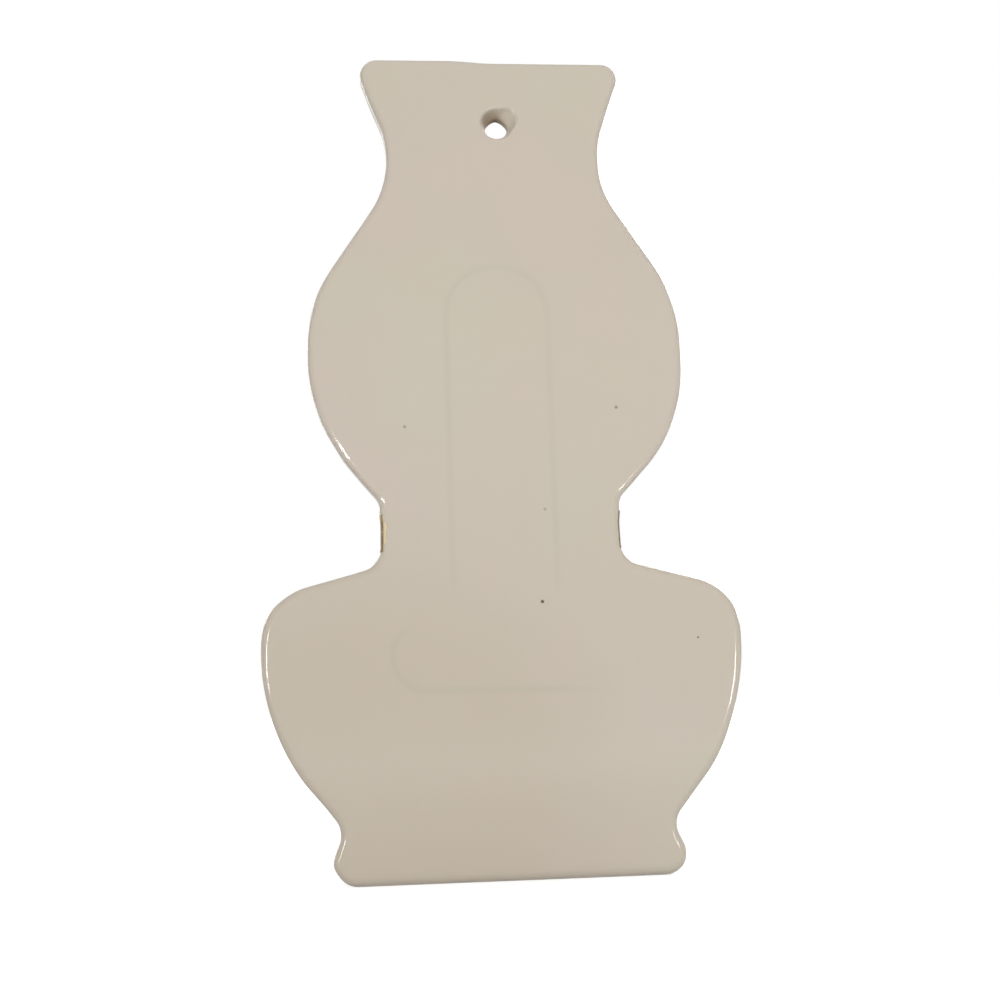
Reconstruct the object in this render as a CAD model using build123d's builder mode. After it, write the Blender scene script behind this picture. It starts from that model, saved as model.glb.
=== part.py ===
from build123d import *
import os
from math import radians, tan

# A wall vase in the shape of a double gourd, cut in half from top to bottom: a flat slab of clay for a
# back, and a hollow half-round front luted to it, glazed all over and fired as one body. It hangs from
# a screw or nail through a hole pierced near the top of the slab. The back lies in the plane y = 0, the
# front bulges towards -Y, and the origin is on the axis of the hanging hole, level with the wall.

# Heights of the outline, stacked from the base upwards (millimetres)
foot_height = 18.5
bowl_height = 91.9
waist_height = 22.2
bulb_height = 124.1
collar_height = 43.3

# Widths of the outline where its straight runs meet, before the corners are rounded
foot_width = 131.0
ankle_width = 114.6
bowl_width = 171.0
waist_width = 86.5
bulb_width = 136.5
neck_width = 71.1
lip_width = 102.4

# Where the sides of the bowl and the bulb stand upright, as shares of their heights
bowl_side_shares = (0.384, 0.877)
bulb_side_shares = (0.236, 0.596)

# Rounding of each corner of the outline from foot to lip: the share of the shorter of its two runs that
# its arc takes up. No two in a row add up to more than 1, so that no two arcs meet.
rounding_shares = (0.576, 0.238, 0.591, 0.361, 0.287, 0.122, 0.587, 0.365, 0.395, 0.19)

# Back slab
plate_thickness = 7.5
back_edge_round = 2.5
front_edge_round = 1.5

# Hanging hole: straight on the front side, flared towards the wall
hole_radius = 4.2
flare_radius = 6.0
flare_angle = 48.0
hole_drop = 24.8
hole_offset = 2.3

# Half-round front: its depth is a share of its half width
depth_share = 0.62
wall = 4.8
ledge = 2.5

# Foot and floor
foot_ring_height = 6.0
foot_ring_wall = 15.0
floor_thickness = 6.0

# Mouth: the rim slopes down from the slab to the front, and ends in a thicker, rounded lip
rim_drop = 12.0
rim_slope = 30.0
lip_height = 7.0
lip_bead = 1.2
rim_round = 2.4

# The waist's wall runs this far up into the flare of the bulb
waist_lap = 5.5

# Lustre round the waist
lustre_thickness = 0.2
lustre_rise = 4.6
lustre_height = 13.2

# Clear run of a cutting shape past what it cuts
overrun = 5.0

# Levels that the heights above lead to, measured from the base
ankle_level = foot_height
waist_level = ankle_level + bowl_height
bulb_level = waist_level + waist_height
neck_level = bulb_level + bulb_height
top_level = neck_level + collar_height
floor_top = foot_ring_height + floor_thickness
collar_top = bulb_level + waist_lap
lustre_low = waist_level + lustre_rise

# Planes on the wall and on the front of the slab, with their origins at the middle of the base
base_z = hole_drop - top_level
wall_plane = Plane(origin=(hole_offset, 0, base_z), x_dir=(1, 0, 0), z_dir=(0, -1, 0))
front_plane = wall_plane.offset(plate_thickness)
spine = Axis(front_plane.origin, (0, 0, 1))

# The wall side of the hanging hole, and the slanted planes above and below the lip
hole_plane = Plane(origin=(0, 0, 0), x_dir=(-1, 0, 0), z_dir=(0, 1, 0))
rim_foot = front_plane.origin + Vector(0, 0, top_level - rim_drop)
rim_plane = Plane(rim_foot).rotated((rim_slope, 0, 0))
lip_plane = rim_plane.offset(-lip_height)


def outline_points():
    """Corners of the right half of the outline, from the middle of the base to the middle of the top."""
    bowl_low = ankle_level + bowl_side_shares[0] * bowl_height
    bowl_high = ankle_level + bowl_side_shares[1] * bowl_height
    bulb_low = bulb_level + bulb_side_shares[0] * bulb_height
    bulb_high = bulb_level + bulb_side_shares[1] * bulb_height
    return [
        Vector(0, 0),
        Vector(foot_width / 2, 0),
        Vector(ankle_width / 2, ankle_level),
        Vector(bowl_width / 2, bowl_low),
        Vector(bowl_width / 2, bowl_high),
        Vector(waist_width / 2, waist_level),
        Vector(waist_width / 2, bulb_level),
        Vector(bulb_width / 2, bulb_low),
        Vector(bulb_width / 2, bulb_high),
        Vector(neck_width / 2, neck_level),
        Vector(lip_width / 2, top_level),
        Vector(0, top_level),
    ]


def corner_radii(points):
    """Radius of each corner's arc, so that it takes its share of the shorter run beside it."""
    radii = []
    for before, corner, after, share in zip(points, points[1:], points[2:], rounding_shares):
        run_in = corner - before
        run_out = after - corner
        turn = radians(run_in.get_angle(run_out))
        radii.append(share * min(run_in.length, run_out.length) / tan(turn / 2))
    return radii


def half_outline(inset, foot_radius, lip_radius=0):
    """Right half of the outline as a face, with its side moved in by inset and its base and top kept.

    foot_radius and lip_radius round its corners at the base and the top. The arcs between them keep
    their centres, so a bulge gets a smaller radius and a hollow a larger one.
    """
    points = outline_points()
    base, *side, top = points
    radii = corner_radii(points)[1:-1]
    inward = [(after - before).normalized().rotate(Axis.Z, 90) for before, after in zip(side, side[1:])]
    foot = side[0] + Vector(inset / inward[0].X, 0)
    lip = side[-1] + Vector(inset / inward[-1].X, 0)
    corners = []
    rounding = []
    for corner, below, above, radius in zip(side[1:-1], inward, inward[1:], radii):
        bulges = below.cross(above).Z > 0
        corners.append(corner + (below + above) * (inset / (1 + below.dot(above))))
        rounding.append(max(radius - inset, 0) if bulges else radius + inset)
    with BuildSketch(Plane.XY) as face:
        with BuildLine():
            FilletPolyline(base, foot, *corners, lip, top, radius=[foot_radius, *rounding, lip_radius])
            Line(top, base)
        make_face()
    return face.sketch


def half_round(outline, low, high):
    """Solid half-round body of a half outline, between two levels.

    The outline's arcs are turned as splines, so that the round body can be flattened to its depth.
    """
    with BuildPart() as body:
        with BuildSketch(front_plane):
            add(outline.to_splines(nurbs=True))
            mirror(about=Plane.YZ)
            with Locations((0, low)):
                Rectangle(bowl_width, high - low, align=(Align.MIN, Align.MIN), mode=Mode.INTERSECT)
        revolve(axis=spine, revolution_arc=-180)
        scale(by=(1, depth_share, 1), about=front_plane.origin)
    return body.part


def cavity(low, high):
    """What the pocket leaves open, set back so that the wall is as thick at the front as at the sides."""
    return half_round(cavity_outline, low, high).moved(Pos(0, wall * (1 - depth_share), 0))


def wall_section(low, high):
    """The front's wall between two levels."""
    with BuildPart() as section:
        add(half_round(wall_outline, low, high))
        add(cavity(low - overrun, high + overrun), mode=Mode.SUBTRACT)
    return section.part


end_radii = corner_radii(outline_points())
slab_outline = half_outline(0, end_radii[0], end_radii[-1])
wall_outline = half_outline(ledge, end_radii[0])
cavity_outline = half_outline(ledge + wall, 0)
lip_outline = half_outline(ledge - lip_bead, 0)
lustre_outline = half_outline(ledge - lustre_thickness, 0)

# Back slab, with the hanging hole flared from the wall side
with BuildPart() as back_plate:
    with BuildSketch(wall_plane):
        add(slab_outline)
        mirror(about=Plane.YZ)
    extrude(amount=plate_thickness)
    fillet(back_plate.faces().sort_by(Axis.Y)[-1].edges(), radius=back_edge_round)
    fillet(back_plate.faces().sort_by(Axis.Y)[0].edges(), radius=front_edge_round)
    with Locations(hole_plane):
        CounterSinkHole(hole_radius, flare_radius, counter_sink_angle=flare_angle)
back_plate.part.label = "back_plate"

# Foot ring, half a ring of clay under the floor
with BuildPart() as foot_ring:
    add(half_round(wall_outline, 0, foot_ring_height))
    ring_half_width = foot_width / 2 - ledge
    with BuildSketch(Plane.XY.offset(base_z)):
        with Locations((hole_offset, -plate_thickness)):
            Ellipse(ring_half_width - foot_ring_wall, depth_share * ring_half_width - foot_ring_wall)
    extrude(amount=foot_ring_height, mode=Mode.SUBTRACT)
foot_ring.part.label = "foot_ring"

# Floor of the pocket
with BuildPart() as pocket_floor:
    add(half_round(wall_outline, foot_ring_height, floor_top))
pocket_floor.part.label = "pocket_floor"

# The front's wall, in one section for each stretch of the outline
with BuildPart() as lower_bowl:
    add(wall_section(floor_top, waist_level))
lower_bowl.part.label = "lower_bowl"

with BuildPart() as waist_collar:
    add(wall_section(waist_level, collar_top))
waist_collar.part.label = "waist_collar"

with BuildPart() as upper_bulb:
    add(wall_section(collar_top, neck_level))
upper_bulb.part.label = "upper_bulb"

with BuildPart() as neck_collar:
    add(wall_section(neck_level, top_level - overrun))
    split(bisect_by=lip_plane, keep=Keep.BOTTOM)
neck_collar.part.label = "neck_collar"

# Lip round the mouth, thicker than the wall under it and rounded over
with BuildPart() as mouth_lip:
    add(half_round(lip_outline, neck_level, top_level - overrun))
    add(cavity(neck_level - overrun, top_level), mode=Mode.SUBTRACT)
    split(bisect_by=rim_plane, keep=Keep.BOTTOM)
    split(bisect_by=lip_plane, keep=Keep.TOP)
    across_rim = Axis(rim_plane.origin, rim_plane.z_dir)
    rim = mouth_lip.faces().filter_by(rim_plane).sort_by(across_rim)[-1]
    fillet(rim.edges() - rim.edges().group_by(Axis.Y)[-1], radius=rim_round)
mouth_lip.part.label = "mouth_lip"

# Band of lustre on the glaze round the waist
with BuildPart() as gold_waist_band:
    add(half_round(lustre_outline, lustre_low, lustre_low + lustre_height))
    add(half_round(wall_outline, waist_level - overrun, neck_level), mode=Mode.SUBTRACT)
gold_waist_band.part.label = "gold_waist_band"

os.makedirs("parts", exist_ok=True)
export_step(back_plate.part, "parts/back_plate.step")
export_step(foot_ring.part, "parts/foot_ring.step")
export_step(pocket_floor.part, "parts/pocket_floor.step")
export_step(lower_bowl.part, "parts/lower_bowl.step")
export_step(waist_collar.part, "parts/waist_collar.step")
export_step(upper_bulb.part, "parts/upper_bulb.step")
export_step(neck_collar.part, "parts/neck_collar.step")
export_step(mouth_lip.part, "parts/mouth_lip.step")
export_step(gold_waist_band.part, "parts/gold_waist_band.step")

pieces = (
    back_plate, foot_ring, pocket_floor, lower_bowl, waist_collar, upper_bulb, neck_collar, mouth_lip,
    gold_waist_band,
)
for piece in pieces:
    print(piece.part.label, "solids", len(piece.part.solids()), "volume", round(piece.part.volume))
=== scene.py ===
# %% [markdown]
# # A hanging wall vase
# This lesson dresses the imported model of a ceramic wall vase: a flat glazed back in the outline of a
# double gourd, and a hollow half-round front that holds the flowers. The model gives the exact sizes.
# The lesson adds what hands, glaze and fire do to such a shape. First we load the model and note the
# space that it takes up, because the finished vase has to fit in the same space.

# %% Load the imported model
from math import atan2, ceil, cos, hypot, pi, radians, sin, sqrt, tan

import bmesh
import bpy
import numpy as np
from mathutils import Matrix, Vector, noise


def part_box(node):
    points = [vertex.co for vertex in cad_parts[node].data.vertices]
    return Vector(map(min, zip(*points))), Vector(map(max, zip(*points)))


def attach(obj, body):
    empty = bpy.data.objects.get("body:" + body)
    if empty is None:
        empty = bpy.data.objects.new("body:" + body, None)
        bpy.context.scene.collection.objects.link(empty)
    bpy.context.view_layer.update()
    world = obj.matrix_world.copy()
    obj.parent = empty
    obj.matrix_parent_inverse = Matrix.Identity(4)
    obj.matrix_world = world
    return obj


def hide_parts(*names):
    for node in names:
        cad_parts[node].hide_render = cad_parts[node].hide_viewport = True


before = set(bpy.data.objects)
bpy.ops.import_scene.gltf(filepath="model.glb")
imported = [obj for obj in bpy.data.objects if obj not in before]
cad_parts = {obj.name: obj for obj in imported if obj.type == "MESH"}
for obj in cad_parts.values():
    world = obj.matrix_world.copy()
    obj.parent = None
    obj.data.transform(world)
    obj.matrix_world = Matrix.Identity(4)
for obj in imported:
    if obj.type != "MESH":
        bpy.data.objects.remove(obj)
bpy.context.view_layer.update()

slab_low, slab_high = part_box("back_plate")
print("nodes:", sorted(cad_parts))

# %% [markdown]
# ## A potter's coordinates
# A slab vase is laid out on the bench in two directions, across and up, and then it has a depth. We work
# in the same three numbers, in millimetres: across from the middle of the back, up from the base, and
# deep from the wall that the back hangs on. One small function turns them into Blender's metres.

# %% Millimetres on the bench, metres in the frame
MM = 0.001
middle_x = (slab_low.x + slab_high.x) / 2
base_z = slab_low.z
slab_thickness = (slab_high.y - slab_low.y) / MM
total_height = (slab_high.z - slab_low.z) / MM
half_width = (slab_high.x - slab_low.x) / 2 / MM


def place(across, up, deep):
    """Frame point, in metres, of a place given in bench millimetres."""
    return (middle_x + across * MM, -deep * MM, base_z + up * MM)


def smooth_step(value):
    """0 below 0, 1 above 1, and a soft curve between."""
    value = max(0.0, min(1.0, value))
    return value * value * (3 - 2 * value)


print("slab:", round(slab_thickness, 2), "mm thick,", round(total_height, 1), "mm tall")

# %% [markdown]
# ## The paper pattern
# The potter cuts the back round a paper pattern. Ours is a chain of straight runs whose corners are
# rounded by arcs, which is also how the model was drawn. The runs come from a few heights and widths,
# and each arc takes up a share of the shorter run beside it.

# %% Corners of the outline
foot_height = 18.5
bowl_height = 91.9
waist_height = 22.2
bulb_height = 124.1
foot_width = 131.0
ankle_width = 114.6
waist_width = 86.5
bulb_width = 136.5
neck_width = 71.1
lip_width = 102.4
bowl_side_shares = (0.384, 0.877)
bulb_side_shares = (0.236, 0.596)
rounding_shares = (0.576, 0.238, 0.591, 0.361, 0.287, 0.122, 0.587, 0.365, 0.395, 0.19)

waist_level = foot_height + bowl_height
bulb_level = waist_level + waist_height
neck_level = bulb_level + bulb_height
outline_corners = [
    (0, 0),
    (foot_width / 2, 0),
    (ankle_width / 2, foot_height),
    (half_width, foot_height + bowl_side_shares[0] * bowl_height),
    (half_width, foot_height + bowl_side_shares[1] * bowl_height),
    (waist_width / 2, waist_level),
    (waist_width / 2, bulb_level),
    (bulb_width / 2, bulb_level + bulb_side_shares[0] * bulb_height),
    (bulb_width / 2, bulb_level + bulb_side_shares[1] * bulb_height),
    (neck_width / 2, neck_level),
    (lip_width / 2, total_height),
    (0, total_height),
]
print("outline runs:", len(outline_corners) - 1)

# %% [markdown]
# ## Walking round the pattern
# To build a surface we need points along the outline, and at each point the direction that faces
# outwards. With both, a smaller outline inside the first one is easy: every point steps back along its
# own direction. The wall of the front and the hollow inside it are two such smaller outlines.

# %% Points and outward directions along one side
sample_step = 1.3
arc_step = radians(7)


def signed_turn(run_in, run_out):
    """Angle from one run to the next, positive where the outline bulges."""
    cross = run_in[0] * run_out[1] - run_in[1] * run_out[0]
    return atan2(cross, run_in[0] * run_out[0] + run_in[1] * run_out[1])


def corner_radii(corners, shares):
    """Radius of each rounded corner, from its share of the shorter run beside it."""
    radii = []
    for before, corner, after, share in zip(corners, corners[1:], corners[2:], shares):
        run_in = np.subtract(corner, before)
        run_out = np.subtract(after, corner)
        turn = abs(signed_turn(run_in, run_out))
        radii.append(share * min(hypot(*run_in), hypot(*run_out)) / tan(turn / 2))
    return radii


def trace_side(corners, radii):
    """Points and outward directions up one side, from the base run to the top run."""
    points, outwards = [], []
    for index, radius in enumerate(radii, start=1):
        corner = np.array(corners[index], float)
        run_in = corner - corners[index - 1]
        turn = signed_turn(run_in, corners[index + 1] - corner)
        run_in /= hypot(*run_in)
        across_in = np.array([-run_in[1], run_in[0]])
        start = corner - run_in * radius * tan(abs(turn) / 2)
        if points:
            last = points[-1]
            steps = max(2, ceil(hypot(*(start - last)) / sample_step))
            points += [last + (start - last) * step / steps for step in range(1, steps)]
            outwards += [-across_in] * (steps - 1)
        side = 1 if turn > 0 else -1
        centre = start + side * radius * across_in
        steps = max(4, ceil(abs(turn) / arc_step), ceil(abs(turn) * radius / sample_step))
        for angle in np.linspace(0, turn, steps + 1):
            outward = -across_in * cos(angle) + run_in * sin(angle)
            points.append(centre + side * radius * outward)
            outwards.append(outward)
    return np.array(points), np.array(outwards)


def read_side(side, levels):
    """Half width of one side at each of some levels."""
    return np.interp(levels, side[:, 1], side[:, 0])


slab_radii = corner_radii(outline_corners, rounding_shares)
slab_side, slab_outward = trace_side(outline_corners, slab_radii)
print("points up one side:", len(slab_side), " corner radii:", [round(radius, 1) for radius in slab_radii])

# %% [markdown]
# ## A smaller pattern inside
# For the wall and the hollow, each corner moves in by the same distance from both of its runs. Arcs
# that bulge lose that much of their radius, and hollow ones gain it, so all the lines stay parallel.

# %% Patterns for the wall and the hollow
def inset_pattern(corners, radii, inset, foot_radius, lip_radius):
    """Corners and radii of the outline with its side moved in, and its base and top kept."""
    runs = np.diff(np.array(corners, float), axis=0)
    runs /= np.linalg.norm(runs, axis=1)[:, None]
    inward = np.stack([-runs[:, 1], runs[:, 0]], axis=1)
    points = [corners[0], (corners[1][0] + inset / inward[1][0], corners[1][1])]
    sizes = [foot_radius]
    for index in range(2, len(corners) - 2):
        below, above = inward[index - 1], inward[index]
        points.append(tuple(np.array(corners[index]) + (below + above) * inset / (1 + below @ above)))
        bulges = below[0] * above[1] - below[1] * above[0] > 0
        sizes.append(max(radii[index - 1] - inset, 0) if bulges else radii[index - 1] + inset)
    points += [(corners[-2][0] + inset / inward[-2][0], corners[-2][1]), corners[-1]]
    return points, sizes + [lip_radius]


wall = 4.8
ledge = 2.5
wall_side, wall_outward = trace_side(*inset_pattern(outline_corners, slab_radii, ledge, slab_radii[0], 0.0))
hollow_side, _ = trace_side(*inset_pattern(outline_corners, slab_radii, ledge + wall, 0.0, 0.0))
print("wall starts at", wall_side[0].round(1), "and the hollow is", round(hollow_side[:, 0].max(), 1), "wide")

# %% [markdown]
# ## Hand work
# Clay that was rolled, cut and sponged by hand is never quite flat. A slow wave a fifth of a
# millimetre deep is enough to bend a reflection. Blender's noise gives the same value at the same place
# every time, so two surfaces that meet are bent alike. Pieces are then collected ring by ring: each new
# ring of points is bridged to the one before it with four-sided faces, which keeps a glossy surface calm.

# %% A slow wave, and a shell that grows ring by ring
wave_gain = 1.6


def clay_wave(across, up, deep, size, depth, seed=0.0):
    """Depth in millimetres, never below 0, of a slow wave at a place on the bench."""
    value = noise.noise(Vector((across / size + seed, up / size, deep / size)))
    return depth * 0.5 * (1 + max(-1.0, min(1.0, value * wave_gain)))


def as_drawn(across, up, deep):
    """The place as it is, for a piece that nothing bends."""
    return across, up, deep


class Shell:
    """Vertices and faces of one piece, in frame metres, and the bend that its points go through."""

    def __init__(self, bend=as_drawn):
        self.vertices = []
        self.faces = []
        self.bend = bend

    def point(self, across, up, deep):
        """Add one point, moved to where the hand-made piece has it."""
        self.vertices.append(place(*self.bend(across, up, deep)))
        return len(self.vertices) - 1

    def ring(self, spots):
        """Add a point at each spot."""
        return [self.point(*spot) for spot in spots]

    def face(self, *corners):
        """Add a face, unless its corners have run together."""
        corners = list(dict.fromkeys(corners))
        if len(corners) > 2:
            self.faces.append(corners)

    def bridge(self, first, second, closed=True):
        """Add four-sided faces between two rings."""
        count = len(first) if closed else len(first) - 1
        for index in range(count):
            following = (index + 1) % len(first)
            self.face(first[index], first[following], second[following], second[index])

    def grow(self, ring, spots):
        """Add a ring at the spots and bridge it to the one before."""
        following = self.ring(spots)
        self.bridge(ring, following)
        return following


def make_piece(name, shell):
    """Smooth-shaded mesh object of a shell, with its normals outwards."""
    mesh = bpy.data.meshes.new(name)
    mesh.from_pydata(shell.vertices, [], shell.faces)
    form = bmesh.new()
    form.from_mesh(mesh)
    bmesh.ops.recalc_face_normals(form, faces=form.faces)
    open_edges = sum(1 for edge in form.edges if len(edge.link_faces) != 2)
    volume = form.calc_volume()
    form.to_mesh(mesh)
    form.free()
    mesh.shade_smooth()
    piece = bpy.data.objects.new(name, mesh)
    bpy.context.scene.collection.objects.link(piece)
    print(name, "faces", len(mesh.polygons), "open edges", open_edges, "cm3", round(volume * 1e6, 1))
    return piece


print("a wave 0.2 mm deep, at one place:", round(clay_wave(0, 150, 0, 45, 0.2), 3), "mm")

# %% [markdown]
# ## The back slab
# The back is a slab cut round the pattern. Its edge was rounded with a wet sponge, a little more at the
# base than at the top, and the glaze rounded it further. We make the two faces as grids of points that
# follow the outline from left to right, and join them by rings that go round the edge.

# %% Once round the slab
side_edge_round = 2.5
base_edge_round = 3.4
top_edge_round = 1.6
front_edge_round = 1.5
edge_tightening = 1.5
edge_length = 1.75
edge_parts = 64
edge_steps = 12
columns = 128
rows = len(slab_side)
column_shares = np.linspace(0, 1, columns + 1)[:, None]


def round_over(count):
    """Inset and depth along the rounded edge, for a radius of 1, from the flat back to the side.

    The curve starts gently and tightens towards the side, as a sponged and glazed edge does.
    """
    turns = np.linspace(0, 1, edge_parts * count + 1) ** edge_tightening * pi / 2
    middles = (turns[1:] + turns[:-1]) / 2
    steps = np.stack([np.cos(middles), np.sin(middles)], axis=1) * edge_length / len(middles)
    run = np.vstack([(0, 0), np.cumsum(steps, axis=0)])[::edge_parts]
    return np.stack([run[-1, 0] - run[:, 0], run[:, 1]], axis=1)


def edge_round(up, outward_up):
    """Size of the back's edge: the side's, but more at the base and less at the top."""
    if up < foot_height / 2:
        return side_edge_round + (base_edge_round - side_edge_round) * max(0.0, -outward_up)
    if up > total_height - foot_height / 2:
        return side_edge_round + (top_edge_round - side_edge_round) * max(0.0, outward_up)
    return side_edge_round


def once_round(left, right):
    """Join what is given up both sides into one loop: base, right side, top, left side."""
    base = left[0] + (right[0] - left[0]) * column_shares
    top = right[-1] + (left[-1] - right[-1]) * column_shares
    return np.vstack([base, right[1:], top[1:], left[-2:0:-1]])


right_side, right_outward = slab_side, slab_outward
left_side, left_outward = slab_side * (-1, 1), slab_outward * (-1, 1)
edge_curve = round_over(edge_steps)
edge_reach, edge_depth = edge_curve[0, 0], edge_curve[-1, 1]
side_rounds = np.array([edge_round(point[1], out[1]) for point, out in zip(slab_side, slab_outward)])
loop_points = once_round(left_side, right_side)
loop_outward = once_round(left_outward, right_outward)
loop_rounds = once_round(side_rounds[:, None], side_rounds[:, None])[:, 0]
print("loop of", len(loop_points), "points; the edge is", round(side_edge_round * edge_reach, 1), "mm wide")

# %% [markdown]
# ## The hanging hole
# The hole was pushed through the soft slab with a round tool and widened from the back, so it flares
# towards the wall. The tool went in twice: a second, shallower push up and to the right, as one looks at
# the back, widened the flare to that side. Clay dragged down at the front makes the hole a rounded
# triangle to look through. The grid leaves a square open, and rings lead from it down the hole.

# %% Shape of the hole
hole_across = -middle_x / MM
hole_up = -base_z / MM
bore_radius = 4.2
flare_radius = 6.0
flare_depth = 4.04
rim_soft = 0.8
rim_fall = 0.4
front_soft = 0.5
patch_half = 10.5
patch_rings = 14
second_push = 3.76
second_radius = 4.4
second_angle = radians(151)
back_drop = 0.3
drag_down = 0.95
drag_in = 0.35
drag_from = 1.5
drag_run = slab_thickness - 2.5
drag_gain = 1.4
rim_shares = np.linspace(0, 1, 6)
flare_rings = np.linspace(0.9, 3.9, 7)
bore_rings = np.linspace(4.4, slab_thickness - front_soft, 4)
front_soft_turns = np.linspace(0, pi / 2, 5)[1:]


def hole_profile():
    """Radius and depth down the hole, from the back face to the front face."""
    profile = [(flare_radius + rim_soft * (1 - share), rim_fall * share ** 2) for share in rim_shares]
    slope = (flare_radius - bore_radius) / flare_depth
    profile += [(flare_radius - slope * (depth - rim_fall / 2), depth) for depth in flare_rings]
    profile += [(bore_radius, depth) for depth in bore_rings]
    for turn in front_soft_turns:
        radius = bore_radius + front_soft * (1 - cos(turn))
        profile.append((radius, slab_thickness - front_soft * (1 - sin(turn))))
    return profile


def hole_spot(angle, radius, deep):
    """Place at an angle round the hole, with the second push and the dragged clay."""
    away = angle - second_angle
    reach = second_radius ** 2 - (second_push * sin(away)) ** 2
    wider = 0.0
    if cos(away) > 0 and reach > 0:
        wider = second_push * cos(away) + sqrt(reach) - flare_radius
    radius += max(wider, 0.0) * max(0.0, 1 - deep / flare_depth)
    dragged = smooth_step((deep - drag_from) / drag_run)
    radius -= drag_in * dragged * smooth_step(sin(angle) * drag_gain) * abs(sin(2 * angle))
    drop = back_drop + (drag_down - back_drop) * dragged
    return hole_across + radius * cos(angle), hole_up + radius * sin(angle) - drop, deep


print("hole at", round(hole_across, 2), "across,", round(hole_up, 2), "up")

# %% [markdown]
# ## The cut
# A knife held by hand strays from the pattern by half a millimetre here and there, and more at the
# corners of the waist. The table gives how far outside or inside the pattern the cut ran on each side.
# The bend below moves every point of the slab to where the knife and the roller left it.

# %% The slab as it was cut
cut_levels = (
    0, 3, 8, 14, 26, 37, 57, 78, 88, 95,
    101, 107, 112, 115, 124, 129, 134, 139, 147, 153,
    165, 186, 206, 222, 240, 252, 262, 272, 284, 300,
)
left_cut = (
    -1.4, -1.3, -0.5, -0.1, -0.6, -0.1, -0.2, 0.0, 0.0, 0.0,
    -0.8, -1.1, 0.0, 0.0, -0.1, 0.3, 0.1, 0.1, -0.2, -0.5,
    -0.1, 0.35, 0.2, -0.3, -0.6, -0.5, -0.3, -0.4, 0.0, -0.3,
)
right_cut = (
    0.3, 0.5, 0.3, 0.2, 0.4, 0.6, -0.3, -0.2, -0.2, 0.4,
    0.4, 0.2, -0.15, -0.3, -0.5, -0.1, -0.4, 0.0, 0.4, 0.5,
    0.4, 0.0, -0.05, 0.4, 0.5, 0.5, 0.75, 0.4, 0.1, 0.0,
)
top_fall = 0.9
top_fall_from = 16.0
top_fall_to = -2.0
top_fall_level = 287
top_fall_height = 12
wave_size = 46
wave_depth = 0.22


def cut_at(cuts, up):
    """How far outside the pattern the cut ran at a level."""
    index = int(np.clip(np.searchsorted(cut_levels, up) - 1, 0, len(cut_levels) - 2))
    low, high = cut_levels[index], cut_levels[index + 1]
    return cuts[index] + (cuts[index + 1] - cuts[index]) * smooth_step((up - low) / (high - low))


def slab_bend(across, up, deep):
    """Where a point of the drawn slab really lies: its outline as cut, and its back as rolled."""
    cut = cut_at(left_cut if across > 0 else right_cut, up) * abs(across) / read_side(slab_side, up)
    fall = top_fall * smooth_step((top_fall_from - across) / (top_fall_from - top_fall_to))
    sink = clay_wave(across, up, 0, wave_size, wave_depth) * (1 - deep / slab_thickness)
    side = 1 if across > 0 else -1
    fallen = up - fall * smooth_step((up - top_fall_level) / top_fall_height)
    return across + side * cut, fallen, deep + sink


print("cut strays from", min(left_cut + right_cut), "to", max(left_cut + right_cut), "mm")

# %% [markdown]
# ## A round hole in a square grid
# Under a gloss, long thin faces show as creases, so each face of the slab is a fine, even grid. A round
# hole doesn't fit such a grid. We leave a square open round it and fill the square with rings that turn
# from its border into a circle, which keeps every face four-sided.

# %% One face of the slab, with a square left open
def walk_round(low, high, first, last):
    """Rows and columns once round a block of the grid: base, right side, top, left side."""
    keys = [(low, column) for column in range(first, last + 1)]
    keys += [(row, last) for row in range(low + 1, high + 1)]
    keys += [(high, column) for column in range(last - 1, first - 1, -1)]
    return keys + [(row, first) for row in range(high - 1, low, -1)]


def find_square():
    """First and last row and column of the grid near the hole."""
    near_rows = np.flatnonzero(abs(slab_side[:, 1] - hole_up) <= patch_half)
    half = read_side(slab_side, hole_up)
    near_columns = np.flatnonzero(abs(half * (2 * column_shares[:, 0] - 1) - hole_across) <= patch_half)
    return near_rows[0], near_rows[-1], near_columns[0], near_columns[-1]


open_square = find_square()


def face_grid(shell, inset, deep):
    """Grid over one face. Returns its edge loop, and the open square's loop and places."""
    left = left_side - left_outward * inset[:, None]
    right = right_side - right_outward * inset[:, None]
    grid = [left[row] + (right[row] - left[row]) * column_shares for row in range(rows)]
    low, high, first, last = open_square
    ids = {}
    for row in range(rows):
        for column in range(columns + 1):
            if not (low < row < high and first < column < last):
                ids[row, column] = shell.point(*grid[row][column], deep)
    for row in range(rows - 1):
        for column in range(columns):
            if not (low <= row < high and first <= column < last):
                above = row + 1
                shell.face(ids[row, column], ids[row, column + 1], ids[above, column + 1], ids[above, column])
    edge = walk_round(0, rows - 1, 0, columns)
    square = walk_round(low, high, first, last)
    places = [grid[row][column] for row, column in square]
    return [ids[key] for key in edge], [ids[key] for key in square], places


def rings_to_hole(shell, square, places, radius, deep):
    """Rings from the open square in to a circle round the hole. Returns the last ring and its angles."""
    angles = [atan2(up - hole_up, across - hole_across) for across, up in places]
    circle = [hole_spot(angle, radius, deep)[:2] for angle in angles]
    ring = square
    for share in np.linspace(0, 1, patch_rings + 1)[1:]:
        spots = [np.add(start, np.subtract(end, start) * share) for start, end in zip(places, circle)]
        ring = shell.grow(ring, [(*spot, deep) for spot in spots])
    return ring, angles


print("grid of", rows, "by", columns + 1)

# %% [markdown]
# ## Round the edge and down the hole
# The two faces now have to become one closed body. Rings lead round the edge from the back's grid to
# the front's, and others lead down the hole, so the slab has an inside and an outside everywhere. The
# line that the function prints shows it: no edge is left open.

# %% Build the slab
side_shares = (1 / 3, 2 / 3, 1)
front_edge_turns = np.linspace(0, pi / 2, 6)[1:-1]
front_rim = 0.3


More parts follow.
